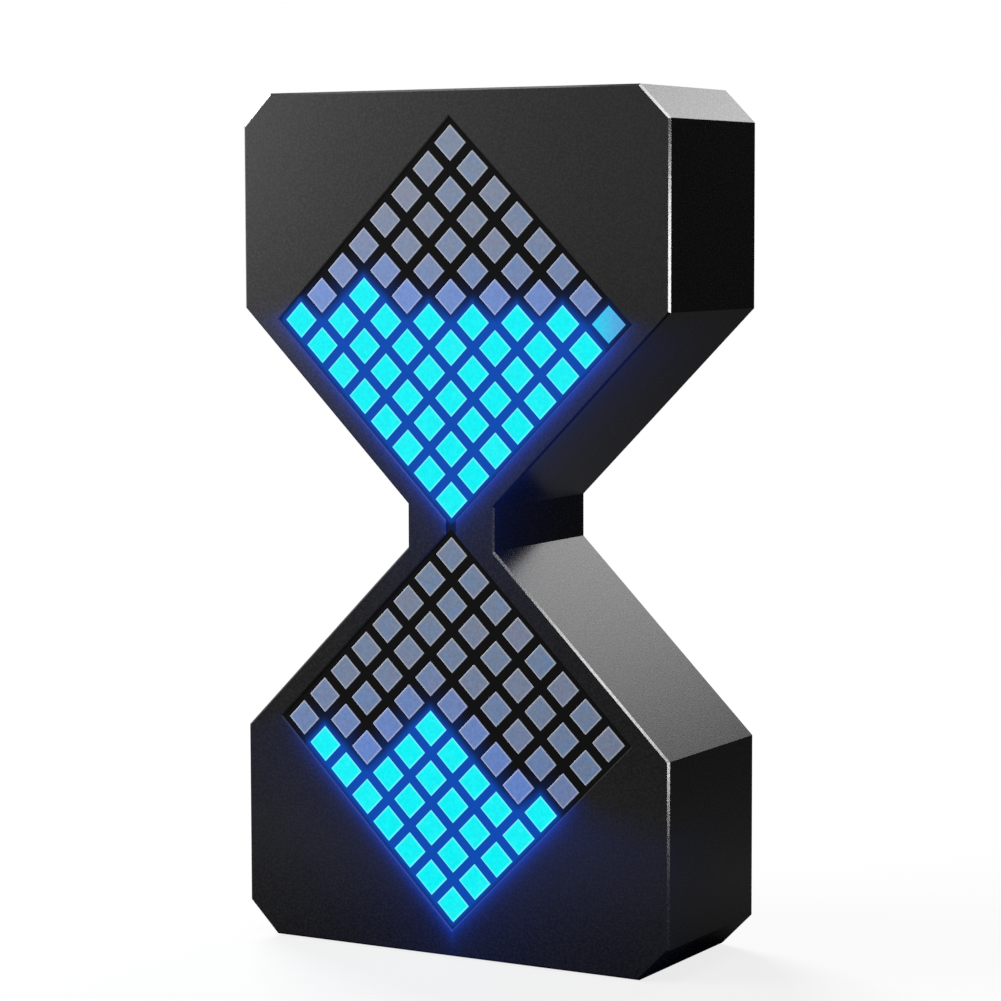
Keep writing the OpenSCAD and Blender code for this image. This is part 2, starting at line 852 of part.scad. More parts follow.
module power_knob() {
    lip_from = cover_front - lip_play - knob_lip_t;
    rib_step = knob_l / (knob_ribs + 1);
    color("#3a3b3e")
        difference() {
            union() {
                slab(lip_from, cover_front - lip_play)
                    at_controls(knob_x)
                        square([knob_l + slide_travel + 2 * knob_lip, knob_w + knob_lip], center = true);
                slab(cover_front - lip_play, control_top)
                    at_controls(knob_x) square([knob_l, knob_w], center = true);
            }
            slab(lip_from - cut_over, lip_from + knob_root) at_controls(knob_x) square(lever, center = true);
            slab(control_top - knob_rib_d, control_top + cut_over)
                for (i = [1 : knob_ribs])
                    at_controls(knob_x - knob_l / 2 + i * rib_step) square([0.5, knob_w + 1], center = true);
        }
}

module charge_led() {
    color("#f2efe2")
        slab(main_back, main_back + charge_led_h)
            translate(charge_place) square([charge_led_l, charge_led_w], center = true);
}

module charge_light_pipe() {
    color("#dfe6ea")
        slab(main_back + charge_led_h, pocket_floor) translate(charge_place) circle(pipe_r);
    color("#dfe6ea")
        slab(cover_front - pipe_lip_t, cover_front) translate(charge_place) circle(pipe_lip_r);
}

// Sound and power

module speaker() {
    back = cover_front - gasket_t;
    magnet_r = speaker_r * 0.55;
    color("#55575b") {
        slab(back - speaker_t / 2, back) translate([0, speaker_z]) circle(speaker_r);
        slab(back - speaker_t, back - speaker_t / 2) translate([0, speaker_z]) circle(magnet_r);
    }
}

module speaker_gasket() {
    color("#101012")
        slab(cover_front - gasket_t, cover_front)
            translate([0, speaker_z])
                difference() {
                    circle(speaker_r);
                    circle(speaker_r - gasket_w);
                }
}

module speaker_leads() {
    color("#b01c1c") for (x = [-lead_gap, lead_gap]) wire(speaker_route(x));
}

module battery() {
    back = cover_front - tape_t;
    color("#a7abb3")
        slab(back - battery_t, back)
            translate([0, battery_z]) rounded_rect(battery_l, battery_h, battery_round);
}

module battery_tape() {
    color("#d8d3c0")
        slab(cover_front - tape_t, cover_front)
            translate([0, battery_z])
                square([battery_l - 2 * tape_inset, battery_h - 2 * tape_inset], center = true);
}

module battery_lead(side) {
    color(side > 0 ? "#b01c1c" : "#161616")
        wire(lead_route(side * lead_gap + lead_shift, lead_socket_place[0] + side * lead_gap / 2));
}

module lead_socket() {
    inner = [lead_plug[0] + 2 * seat_play, lead_plug[2] + 2 * seat_play];
    low = lead_socket_place[1] - lead_socket[1] / 2;
    middle = main_front - lead_socket[2] / 2;
    color("#e6e2d6")
        difference() {
            front_chip(lead_socket_place, lead_socket);
            slab(middle - inner[1] / 2, middle + inner[1] / 2)
                translate([lead_socket_place[0], low + (plug_grip + seat_play - cut_over) / 2])
                    square([inner[0], plug_grip + seat_play + cut_over], center = true);
        }
}

module lead_plug() {
    low = lead_socket_place[1] - lead_socket[1] / 2;
    middle = main_front - lead_socket[2] / 2;
    color("#f0ede4")
        slab(middle - lead_plug[2] / 2, middle + lead_plug[2] / 2)
            translate([lead_socket_place[0], low + plug_grip - lead_plug[1] / 2])
                square([lead_plug[0], lead_plug[1]], center = true);
}

// Fasteners and feet

module cover_screws() {
    color("#2e2f31")
        for (p = cover_bosses, x = [-1, 1], z = [-1, 1])
            screw([x * p[0], z * p[1]], body_d - counterbore, -1,
                cover_screw_r, cover_head_r, cover_head_h, cover_screw_l);
}

module main_board_screws() {
    color("#9a9da1")
        for (x = [-1, 1], z = [-1, 1])
            screw([x * main_post[0], main_z + z * main_post[1]], main_front, 1,
                board_screw_r, board_head_r, board_head_h, board_screw_l);
}

module led_board_screws() {
    color("#9a9da1")
        for (p = board_posts, x = [-1, 1], z = [-1, 1])
            screw([x * p[0], z * p[1]], board_back, -1,
                board_screw_r, board_head_r, board_head_h, board_screw_l);
}

module feet(end) {
    middle = mid_z + end * (half_h + foot_proud - foot_t / 2);
    color("#1a1a1b")
        translate([0, 0, middle]) linear_extrude(height = foot_t, center = true) foot_strip(foot_l, foot_w);
}

housing();
rear_cover();
grid_mask();
diffuser(1);  // diffuser_upper
diffuser(-1);  // diffuser_lower
light_wells(1);  // light_wells_upper
light_wells(-1);  // light_wells_lower
led_board(1);  // led_board_upper
led_board(-1);  // led_board_lower
leds(1);  // leds_upper
leds(-1);  // leds_lower
driver_chips();
link_sockets();
link_ribbon();
main_board();
controller_chip();
motion_sensor();
charger_chip();
header_socket();
header_pins();
usb_shell();
usb_tongue();
tact_switches();
stem(mode_x);  // mode_stem
stem(set_x);  // set_stem
button(mode_x);  // mode_button
button(set_x);  // set_button
switch_body();
switch_lever();
power_knob();
charge_led();
charge_light_pipe();
speaker();
speaker_gasket();
speaker_leads();
battery();
battery_tape();
battery_lead(1);  // battery_lead_red
battery_lead(-1);  // battery_lead_black
lead_socket();
lead_plug();
cover_screws();
main_board_screws();
led_board_screws();
feet(-1);  // feet_bottom
feet(1);  // feet_top
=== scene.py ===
import json
import math
import random

import bmesh
import bpy
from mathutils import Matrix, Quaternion, Vector


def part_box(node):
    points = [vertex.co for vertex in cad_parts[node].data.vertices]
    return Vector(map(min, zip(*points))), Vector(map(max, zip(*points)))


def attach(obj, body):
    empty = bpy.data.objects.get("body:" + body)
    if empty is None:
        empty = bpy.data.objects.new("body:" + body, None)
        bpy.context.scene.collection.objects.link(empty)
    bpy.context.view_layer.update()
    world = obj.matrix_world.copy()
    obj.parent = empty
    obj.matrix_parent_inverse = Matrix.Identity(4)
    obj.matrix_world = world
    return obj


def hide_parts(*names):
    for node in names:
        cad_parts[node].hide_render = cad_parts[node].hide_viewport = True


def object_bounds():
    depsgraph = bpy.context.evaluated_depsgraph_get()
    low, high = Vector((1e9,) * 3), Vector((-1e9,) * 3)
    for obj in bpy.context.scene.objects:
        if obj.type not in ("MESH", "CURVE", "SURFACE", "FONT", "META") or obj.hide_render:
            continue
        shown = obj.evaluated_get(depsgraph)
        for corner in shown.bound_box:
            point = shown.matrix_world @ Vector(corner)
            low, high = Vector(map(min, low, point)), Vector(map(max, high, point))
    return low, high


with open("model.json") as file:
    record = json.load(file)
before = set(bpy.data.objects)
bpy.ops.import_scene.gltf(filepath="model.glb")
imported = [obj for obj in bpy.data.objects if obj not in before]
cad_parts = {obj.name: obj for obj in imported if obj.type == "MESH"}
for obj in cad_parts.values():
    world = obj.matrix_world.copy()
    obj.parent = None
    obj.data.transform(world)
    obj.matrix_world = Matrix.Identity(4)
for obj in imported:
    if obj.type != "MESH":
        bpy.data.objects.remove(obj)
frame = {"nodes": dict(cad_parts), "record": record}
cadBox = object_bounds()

mm = 0.001  # everything here is in metres, display towards -Y, Z up
scene = bpy.context.scene
scene.view_settings.view_transform = "Standard"
nodes = frame["nodes"]
dice = random.Random(64)
print("frame loaded,", len(nodes), "nodes")


# meshes and shader nodes

squareCorners = ((-1, -1), (1, -1), (1, 1), (-1, 1))


def addMesh(name, verts, faces, values=None):  # values = numbers for each point, read by the finishes
    mesh = bpy.data.meshes.new(name)
    mesh.from_pydata(verts, [], faces)
    for key, numbers in (values or {}).items():
        mesh.attributes.new(key, "FLOAT", "POINT").data.foreach_set("value", numbers)
    bm = bmesh.new()
    bm.from_mesh(mesh)
    bmesh.ops.recalc_face_normals(bm, faces=bm.faces)
    bm.to_mesh(mesh)
    bm.free()
    obj = bpy.data.objects.new(name, mesh)
    scene.collection.objects.link(obj)
    return obj


def newFinish(name):
    mat = bpy.data.materials.new(name)
    mat.use_nodes = True
    tree = mat.node_tree
    return mat, tree, tree.nodes["Principled BSDF"]


def addNode(tree, kind, inputs=None, **settings):
    made = tree.nodes.new("ShaderNode" + kind)
    for key, value in settings.items():
        setattr(made, key, value)
    for key, value in (inputs or {}).items():
        if isinstance(value, bpy.types.NodeSocket):
            tree.links.new(value, made.inputs[key])
        else:
            made.inputs[key].default_value = value
    return made


def calc(tree, operation, *values):
    return addNode(tree, "Math", dict(enumerate(values)), operation=operation).outputs[0]


def ramp(tree, value, fromRange, toRange, smooth=False):
    spans = {"Value": value, "From Min": fromRange[0], "From Max": fromRange[1]}
    spans.update({"To Min": toRange[0], "To Max": toRange[1]})
    kind = "SMOOTHSTEP" if smooth else "LINEAR"
    return addNode(tree, "MapRange", spans, interpolation_type=kind).outputs[0]


def blendColours(tree, factor, first, second):
    made = addNode(tree, "Mix", data_type="RGBA")
    for socket, value in zip((made.inputs[0], made.inputs[6], made.inputs[7]), (factor, first, second)):
        if isinstance(value, bpy.types.NodeSocket):
            tree.links.new(value, socket)
        else:
            socket.default_value = value if isinstance(value, float) else (*value, 1)
    return made.outputs[2]


def spotOf(tree, kind="Object"):  # X, Y and Z of a point, or of its normal
    return addNode(tree, "SeparateXYZ", {0: addNode(tree, "TexCoord").outputs[kind]}).outputs


def distanceFromOrigin(tree):
    spot = addNode(tree, "TexCoord").outputs["Object"]
    return addNode(tree, "VectorMath", {0: spot}, operation="LENGTH").outputs["Value"]


def stored(tree, key):  # a number kept with the points of a mesh
    return addNode(tree, "Attribute", attribute_name=key).outputs["Fac"]


# camera and studio

shot = dict(
    place=(0.27804, -0.48517, 0.12796), aim=(0.00059, 0.0, 0.0790),
    roll=-0.15,  # degrees
    lens=113.88, sensor=36,
)


def addCamera(spec):
    data = bpy.data.cameras.new("camera")
    data.lens = spec["lens"]
    data.sensor_width = spec["sensor"]
    camera = bpy.data.objects.new("camera", data)
    stand = Vector(spec["place"])
    facing = (Vector(spec["aim"]) - stand).to_track_quat("-Z", "Y")
    turn = Quaternion((0, 0, 1), math.radians(spec["roll"]))
    camera.location = stand
    camera.rotation_mode = "QUATERNION"
    camera.rotation_quaternion = facing @ turn
    scene.collection.objects.link(camera)
    scene.camera = camera


# toward = where the lamp stands seen from the timer, size = width and height of its window
lamps = {
    "frontSoftbox": dict(toward=(-0.828, -0.538, 0.156), away=1.2, size=(0.74, 0.32), watts=14.3),
    "backSoftbox": dict(toward=(0.080, 0.835, 0.545), away=1.2, size=(0.27, 0.53), watts=1.9),
    "rearSoftbox": dict(toward=(-0.663, 0.557, 0.500), away=1.2, size=(0.60, 0.50), watts=16),
}
timerMiddle = (Vector(cadBox[0]) + Vector(cadBox[1])) / 2


def addLamp(name, spec):
    data = bpy.data.lights.new(name, "AREA")
    data.shape = "RECTANGLE"
    data.size, data.size_y = spec["size"]
    data.energy = spec["watts"]
    lamp = bpy.data.objects.new(name, data)
    toward = Vector(spec["toward"]).normalized()
    lamp.location = timerMiddle + toward * spec["away"]
    lamp.rotation_mode = "QUATERNION"
    lamp.rotation_quaternion = toward.to_track_quat("Z", "Y")
    lamp.visible_camera = False
    scene.collection.objects.link(lamp)


studio = dict(
    skyFill=0.2, floorHalf=3.0, floorDrop=0.05 * mm, shadowDepth=0.2, shadowReach=(0.12, 0.55),
    cardBlack=(0.002, 0.002, 0.002),
)


def seenRay(tree):  # 1 for rays that should find the plain white studio, 0 for the rest
    path = addNode(tree, "LightPath").outputs
    either = calc(tree, "MAXIMUM", path["Is Camera Ray"], path["Is Glossy Ray"])
    return calc(tree, "MAXIMUM", either, path["Is Transmission Ray"])


def addWorld():
    world = bpy.data.worlds.new("studio")
    scene.world = world
    world.use_nodes = True
    tree = world.node_tree
    back = tree.nodes["Background"]
    back.inputs["Color"].default_value = (1, 1, 1, 1)
    tree.links.new(ramp(tree, seenRay(tree), (0, 1), (studio["skyFill"], 1)), back.inputs["Strength"])


def whiteGlow(name):  # matt finish that can shine white
    mat, tree, shader = newFinish(name)
    shader.inputs["Specular IOR Level"].default_value = 0
    shader.inputs["Emission Color"].default_value = (1, 1, 1, 1)
    return mat, tree, shader


def addFloor():
    half, z = studio["floorHalf"], -studio["floorDrop"]
    floor = addMesh("floor", [(u * half, v * half, z) for u, v in squareCorners], [(0, 1, 2, 3)])
    mat, tree, shader = whiteGlow("studioFloor")
    distance = distanceFromOrigin(tree)
    near = ramp(tree, distance, studio["shadowReach"], (studio["shadowDepth"], 0), smooth=True)
    tree.links.new(blendColours(tree, near, (0, 0, 0), (1, 1, 1)), shader.inputs["Base Color"])
    glow = calc(tree, "MULTIPLY", seenRay(tree), calc(tree, "SUBTRACT", 1.0, near))
    tree.links.new(glow, shader.inputs["Emission Strength"])
    floor.data.materials.append(mat)


# cards that only reflections find: dark ones around the timer, small bright ones for its bevelled edges
cards = {
    "tableCard": dict(
        middle=(0, 0, 0.1 * mm), facing=(0, 0, 1), size=(4.0, 4.0), glow=0.017,
        rise=(0.04, 0.10)),  # no glow under the timer, a painted shade there, bright around it, less with distance
    "frontCard": dict(
        middle=(-0.07, -0.12, 0.2 * mm), facing=(0, 0, 1), size=(0.22, 0.10), glow=0.50),
    "sideCard": dict(
        middle=(0.83, 1.25, 0.45), facing=(-0.50, -0.86, 0), size=(1.72, 0.95), glow=0.03),
    "upperEdgeCard": dict(
        middle=(0.220, -0.106, 0.115), facing=(-0.89, 0.45, 0), size=(0.04, 0.046), glow=75),
    "lowerEdgeCard": dict(
        middle=(0.220, -0.106, 0.014), facing=(-0.89, 0.45, 0), size=(0.04, 0.027), glow=75),
    "slopeCard": dict(
        middle=(0.152, -0.121, 0.250), facing=(-0.41, 0.41, -0.81), size=(0.05, 0.05), glow=55),
    "cutCard": dict(
        middle=(0.090, -0.065, 0.250), facing=(-0.41, 0.41, -0.81), size=(0.05, 0.04), glow=55),
    "topCard": dict(
        middle=(-0.061, -0.027, 0.255), facing=(0.49, 0.09, -0.87), size=(0.03, 0.06), glow=10),
}


def addCard(name, spec):
    width, height = spec["size"]
    middle = Vector(spec["middle"])
    turn = Vector(spec["facing"]).to_track_quat("Z", "Y")
    outline = [Vector((u * width / 2, v * height / 2, 0)) for u, v in squareCorners]
    card = addMesh(name, [turn @ c + middle for c in outline], [(0, 1, 2, 3)])
    mat, tree, shader = whiteGlow(name)
    shader.inputs["Base Color"].default_value = (*studio["cardBlack"], 1)
    shader.inputs["Emission Strength"].default_value = spec["glow"]
    # rise: glow starts away from the timer, so reflections find a painted shade under it
    if "rise" in spec:
        distance = distanceFromOrigin(tree)
        glow = calc(tree, "DIVIDE", ramp(tree, distance, spec["rise"], (0, spec["glow"])), distance)
        tree.links.new(glow, shader.inputs["Emission Strength"])
    card.data.materials.append(mat)
    card.visible_camera = False
    card.visible_diffuse = False
    card.visible_shadow = False
    card.visible_transmission = False


addCamera(shot)
addWorld()
addFloor()
for name, spec in lamps.items():
    addLamp(name, spec)
for name, spec in cards.items():
    addCard(name, spec)
print("studio:", len(lamps), "lamps,", len(cards), "cards")


# display: which cells shine; rows count from a diamond's upper corner, cells from the left

display = dict(
    count=8, pitch=6.2 * mm, window=4.54 * mm, hole=4.64 * mm, border=0.05 * mm,
    tintSpread=0.6, paleTint=1.0,  # how far the colour of a window strays
    dimShare=0.35,  # light of a dim window, where a lit one has 1
)
sand = {
    "upper": dict(full=8, extra={6: (2,), 7: range(1, 8)}, dim={7: (8,)}, pale={8: (4,), 12: (3,)}),
    "lower": dict(full=10, extra={7: (4,), 8: (1, 3, 4), 9: range(1, 5)}, dim={}, pale={}),
}


def cellState(spec, row, place):
    if place in spec["dim"].get(row, ()):
        return "dim"
    if row >= spec["full"] or place in spec["extra"].get(row, ()):
        return "lit"
    return "off"


def cellTint(spec, row, place):
    if place in spec["pale"].get(row, ()):
        return display["paleTint"]
    return dice.uniform(-display["tintSpread"], display["tintSpread"])


def listCells(spec):
    last, pitch = display["count"] - 1, display["pitch"]
    found = []
    for row in range(2 * last + 1):
        first = max(0, row - last)
        for place in range(1, min(row, 2 * last - row) + 2):
            i = first + place - 1
            j = row - i
            along = ((i - last / 2) * pitch, (j - last / 2) * pitch)
            state, tint = cellState(spec, row, place), cellTint(spec, row, place)
            found.append(dict(along=along, state=state, tint=tint))
    return found


def middleOf(node):
    low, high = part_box(node)
    return (low + high) / 2


cells = {side: listCells(spec) for side, spec in sand.items()}
fieldMiddle = {side: middleOf("leds_" + side).z for side in sand}
slant = math.sqrt(0.5)  # the diamonds stand on a corner


def displayPoint(side, p, q, y):  # p and q run down along the two edges of a diamond
    return ((p - q) * slant, y, fieldMiddle[side] - (p + q) * slant)


def shineAt(side, p, q, reach):  # light that reaches a point from the lit cells around it, used for the painted glow and tint beside them
    half = display["window"] / 2
    total = 0.0
    for cell in cells[side]:
        if cell["state"] == "off":
            continue
        gapP = max(abs(p - cell["along"][0]) - half, 0)
        gapQ = max(abs(q - cell["along"][1]) - half, 0)
        share = 1.0 if cell["state"] == "lit" else display["dimShare"]
        total += share * math.exp(-math.hypot(gapP, gapQ) / reach)
    return min(total, 1.0)


# windows: one small moulded pad for each cell, on the sheet behind the grid

pads = dict(
    edge=0.16 * mm, steps=3,  # rounding of a pad's edge
    rimWidth=0.30,  # share of a pad's half width where its painted rim highlight fades
    # spill: how far the painted blue tint and glow from lit windows reach
    sheet=0.8 * mm, sheetHalf=25.0 * mm, paintedSpill=3 * mm,
)


def padRings(face, back):  # depth, half width and rim value (share of the painted rim highlight) of each ring, from the back to the front
    half = display["window"] / 2
    rings = [(back, half, 1.0)]
    for k in range(pads["steps"] + 1):
        angle = math.pi / 2 * k / pads["steps"]
        inset = pads["edge"] * (1 - math.cos(angle))
        rings.append((face + pads["edge"] * (1 - math.sin(angle)), half - inset, 1.0))
    rings.append((face, half * (1 - pads["rimWidth"]), 0.0))
    return rings


def stackRings(faces, rings):  # closes a stack of four-cornered rings
    for k in range(len(rings) - 1):
        for c in range(4):
            a, b = rings[k] + c, rings[k] + (c + 1) % 4
            faces.append((a, b, b + 4, a + 4))
    faces.append(tuple(range(rings[0], rings[0] + 4)))
    faces.append(tuple(range(rings[-1], rings[-1] + 4)))


def addWindows(side, state):
    face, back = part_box("diffuser_" + side)[0].y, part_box("diffuser_" + side)[1].y
    sheetFront = back - pads["sheet"]
    verts, faces = [], []
    values = {"rim": [], "tint": [], "paintedSpill": []}
    for cell in cells[side]:
        if cell["state"] != state:
            continue
        rings = []
        # share of painted spilt light from the lit cells around this one
        paintedSpill = shineAt(side, *cell["along"], pads["paintedSpill"])
        for y, half, rim in padRings(face, sheetFront):
            rings.append(len(verts))
            for u, v in squareCorners:
                p, q = cell["along"][0] + u * half, cell["along"][1] + v * half
                verts.append(displayPoint(side, p, q, y))
                values["rim"].append(rim)
                values["tint"].append(cell["tint"])
                values["paintedSpill"].append(paintedSpill)
        stackRings(faces, rings)
    if state == "off":  # the sheet goes with the windows that are off
        rings = []
        for y in (sheetFront, back):
            rings.append(len(verts))
            for u, v in squareCorners:
                verts.append(displayPoint(side, u * pads["sheetHalf"], v * pads["sheetHalf"], y))
                for key in values:
                    values[key].append(0.0)
        stackRings(faces, rings)
    made = addMesh(f"windows_{state}_{side}", verts, faces, values)
    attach(made, "case")
    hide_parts("diffuser_" + side)
    return made


windows = {}
for side in sand:
    for state in sorted({cell["state"] for cell in cells[side]}):
        windows[side, state] = addWindows(side, state)
print("windows:", {key: len(obj.data.polygons) for key, obj in windows.items()})


# grid: black bars between the windows, with a strip at the neck

# painted blue glow on the bars and the neck strip, standing in for light from the lit windows
bars = dict(
    reach=1.1 * mm, outerShare=0.6,  # how far the windows' painted glow goes, and what is left of it at the case
    neckHalf=0.95 * mm, neckSink=0.03 * mm, neckHeight=2.9 * mm,
    neckShine=(0.16, 0.37),  # lower and upper end
)


def gridLines():  # edges of the holes and the middle lines of the bars, along one side of a diamond
    count, pitch, hole = display["count"], display["pitch"], display["hole"]
    outer = count * pitch / 2 + display["border"]
    lines, isOpen = [-outer], [False]
    for k in range(count):
        middle = (k - (count - 1) / 2) * pitch
        lines += [middle - hole / 2, middle + hole / 2]
        isOpen += [True, False]
        if k < count - 1:
            lines.append(middle + pitch / 2)
            isOpen.append(False)
    return lines + [outer], isOpen


def gridFaces(start, isOpen):  # fronts, backs and walls of one diamond's bars
    n = len(isOpen) + 1

    def at(a, b, layer):
        return start + layer * n * n + a * n + b

    def solid(a, b):
        return 0 <= a < n - 1 and 0 <= b < n - 1 and not (isOpen[a] and isOpen[b])

    faces = []
    for a in range(n - 1):
        for b in range(n - 1):
            if not solid(a, b):
                continue
            loop = ((a, b), (a + 1, b), (a + 1, b + 1), (a, b + 1))
            for layer in (0, 1):
                faces.append(tuple(at(u, v, layer) for u, v in loop))
            for k, (da, db) in enumerate(((0, -1), (1, 0), (0, 1), (-1, 0))):
                if not solid(a + da, b + db):
                    first, second = loop[k], loop[(k + 1) % 4]
                    faces.append((at(*first, 0), at(*second, 0), at(*second, 1), at(*first, 1)))
    return faces


def barShine(side, p, q, rim):  # beyond the rim the bars take less painted glow towards the case
    nearest = [max(-rim, min(c, rim)) for c in (p, q)]
    outside = (abs(p) > rim) + (abs(q) > rim)
    return shineAt(side, *nearest, bars["reach"]) * bars["outerShare"] ** outside


def addGrid():
    face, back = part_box("grid_mask")[0].y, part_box("grid_mask")[1].y
    lines, isOpen = gridLines()
    rim = lines[-2]  # outer edge of the last hole
    verts, faces, paintedShine = [], [], []
    for side in sand:
        faces += gridFaces(len(verts), isOpen)
        for y in (face, back):
            for p in lines:
                for q in lines:
                    verts.append(displayPoint(side, p, q, y))
                    paintedShine.append(barShine(side, p, q, rim))
    middle = (fieldMiddle["upper"] + fieldMiddle["lower"]) / 2
    lowerShine, upperShine = bars["neckShine"]
    rings = []
    for y in (face + bars["neckSink"], back):
        rings.append(len(verts))
        for u, v in squareCorners:
            verts.append((u * bars["neckHalf"], y, middle + v * bars["neckHeight"] / 2))
            paintedShine.append(upperShine if v > 0 else lowerShine)
    stackRings(faces, rings)
    used = sorted({v for f in faces for v in f})  # the points inside the holes go
    renumber = {v: k for k, v in enumerate(used)}
    faces = [tuple(renumber[v] for v in f) for f in faces]
    made = addMesh("display_grid", [verts[v] for v in used], faces, {"paintedShine": [paintedShine[v] for v in used]})
    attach(made, "case")
    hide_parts("grid_mask")
    return made


grid = addGrid()
print("grid:", len(grid.data.polygons), "faces")


# marks beside the rear controls: paint in the cut marks

marks = dict(
    height=2 * mm, line=0.4 * mm, drop=5.4 * mm, step=2.2 * mm, paint=0.12 * mm, arc=40,
    flash=((0.25, 1), (-0.65, -0.15), (-0.05, -0.15)),  # half of its points, in half heights
)


def bar(x, z, width, height):
    return [(x + u * width / 2, z + v * height / 2) for u, v in squareCorners]


def plus(x, z):
    h, t = marks["height"] / 2, marks["line"] / 2
    arm = [(t, h), (t, t), (h, t)]
    points = []
    for _ in range(4):
        points += arm
        arm = [(v, -u) for u, v in arm]
    return [(x + u, z + v) for u, v in points]


def flash(x, z):
    half = list(marks["flash"])
    points = half + [(-u, -v) for u, v in half]
    return [(x + u * marks["height"] / 2, z + v * marks["height"] / 2) for u, v in points]


def addMarks():
    size, line, step = marks["height"], marks["line"], marks["step"]
    z = middleOf("mode_button").z - marks["drop"]
    switchX, modeX = middleOf("switch_body").x, middleOf("mode_button").x
    setX, usbX = middleOf("set_button").x, middleOf("usb_shell").x
    outlines = [bar(switchX - step, z, line, size)]
    outlines += [bar(modeX, z + k * (size - line) / 2, size, line) for k in (-1, 0, 1)]
    outlines += [plus(setX, z), flash(usbX, z)]
    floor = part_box("usb_shell")[1].y
    layers = (floor, floor + marks["paint"])
    verts, faces = [], []
    for outline in outlines:
        start, n = len(verts), len(outline)
        for y in layers:
            verts += [(x, y, v) for x, v in outline]
        faces += [tuple(start + k for k in range(n)), tuple(start + n + k for k in range(n))]
        for k in range(n):
            a, b = start + k, start + (k + 1) % n
            faces.append((a, b, b + n, a + n))
    start, n = len(verts), marks["arc"]  # the ring for off
    for y in layers:
        for radius in (size / 2, size / 2 - line):
            for k in range(n):
                angle = 2 * math.pi * k / n
                x = switchX + step + radius * math.cos(angle)
                verts.append((x, y, z + radius * math.sin(angle)))
    for k in range(n):
        a, b = start + k, start + (k + 1) % n
        for first, second in ((0, 1), (1, 3), (3, 2), (2, 0)):
            faces.append((a + first * n, b + first * n, b + second * n, a + second * n))
    made = addMesh("control_marks", verts, faces)
    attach(made, "case")
    return made


controlMarks = addMarks()
print("control marks:", len(controlMarks.data.polygons), "faces")


# finishes

noiseSpan = (0.3, 0.7)  # where most values of a noise lie


def noiseAt(tree, size, detail=2.0, stretch=(1, 1, 1)):
    spot = addNode(tree, "TexCoord").outputs["Object"]
    if stretch != (1, 1, 1):
        spot = addNode(tree, "VectorMath", {0: spot, 1: stretch}, operation="MULTIPLY").outputs[0]
    return addNode(tree, "TexNoise", {"Vector": spot, "Scale": 1 / size, "Detail": detail}).outputs["Fac"]


def unevenRough(tree, shader, noise, rough, spread):
    span = (rough - spread, rough + spread)
    tree.links.new(ramp(tree, noise, noiseSpan, span), shader.inputs["Roughness"])


def shade(colour, amount):
    return tuple(min(c * (1 + amount), 1.0) for c in colour)


def bumpFrom(tree, shader, height, depth):
    made = addNode(tree, "Bump", {"Height": height, "Distance": depth, "Strength": 1.0})
    tree.links.new(made.outputs["Normal"], shader.inputs["Normal"])


# plain mouldings: fine grain and a wider cloud, in equal shares
mould = dict(cloudScale=25, cloudDetail=3.0, share=0.5, roughSpread=0.06)


def moulded(name, colour, rough=0.5, grain=0.4 * mm, depth=0.01 * mm, mottle=0.12, **sockets):
    mat, tree, shader = newFinish(name)
    fine = noiseAt(tree, grain)
    cloud = noiseAt(tree, mould["cloudScale"] * grain, mould["cloudDetail"])
    tone = calc(tree, "MULTIPLY_ADD", fine, mould["share"], calc(tree, "MULTIPLY", cloud, mould["share"]))
    colours = blendColours(tree, tone, shade(colour, -mottle), shade(colour, mottle))
    tree.links.new(colours, shader.inputs["Base Color"])
    unevenRough(tree, shader, fine, rough, mould["roughSpread"])
    bumpFrom(tree, shader, fine, depth)
    for key, value in sockets.items():
        shader.inputs[key.replace("_", " ")].default_value = value
    return mat


# case: black grained plastic, edges a little polished, ends and display walls matt, on the housing a
# painted blue glow on its front that stands in for the windows' light
case = dict(
    dark=(0.0045, 0.0045, 0.0047), light=(0.0135, 0.0135, 0.0137),
    grain=0.40 * mm, grainDepth=0.006 * mm, grainShare=0.8, cloud=16 * mm, detail=3.0,
    gloss=0.20, rough=0.27, roughSpread=0.03, edgeRough=0.18, mattRough=0.75,
    edgeFrom=0.1, endFrom=0.9,  # bevels and ends, told by their normals
    wallDepth=0.005 * mm, wallReach=0.5 * mm,  # walls, told by their place behind the front
    # painted glow on the housing's front: its colour, lean, near and wide strength and reach, and where it
    # stops
    glowColour=(0.0, 0.09, 1.0), glowLean=10,  # stronger towards +X
    glowNear=0.35, glowNearReach=1.0 * mm, glowWide=0.042, glowWideReach=10 * mm,
    glowTop=dict(upper=-0.5 * mm, lower=-9 * mm), glowTilt=dict(upper=0.05, lower=0.16), glowFade=5 * mm,
)


def fadeOut(tree, distance, strength, reach):
    fall = calc(tree, "EXPONENT", calc(tree, "MULTIPLY", distance, -1 / reach))
    return calc(tree, "MULTIPLY", fall, strength)


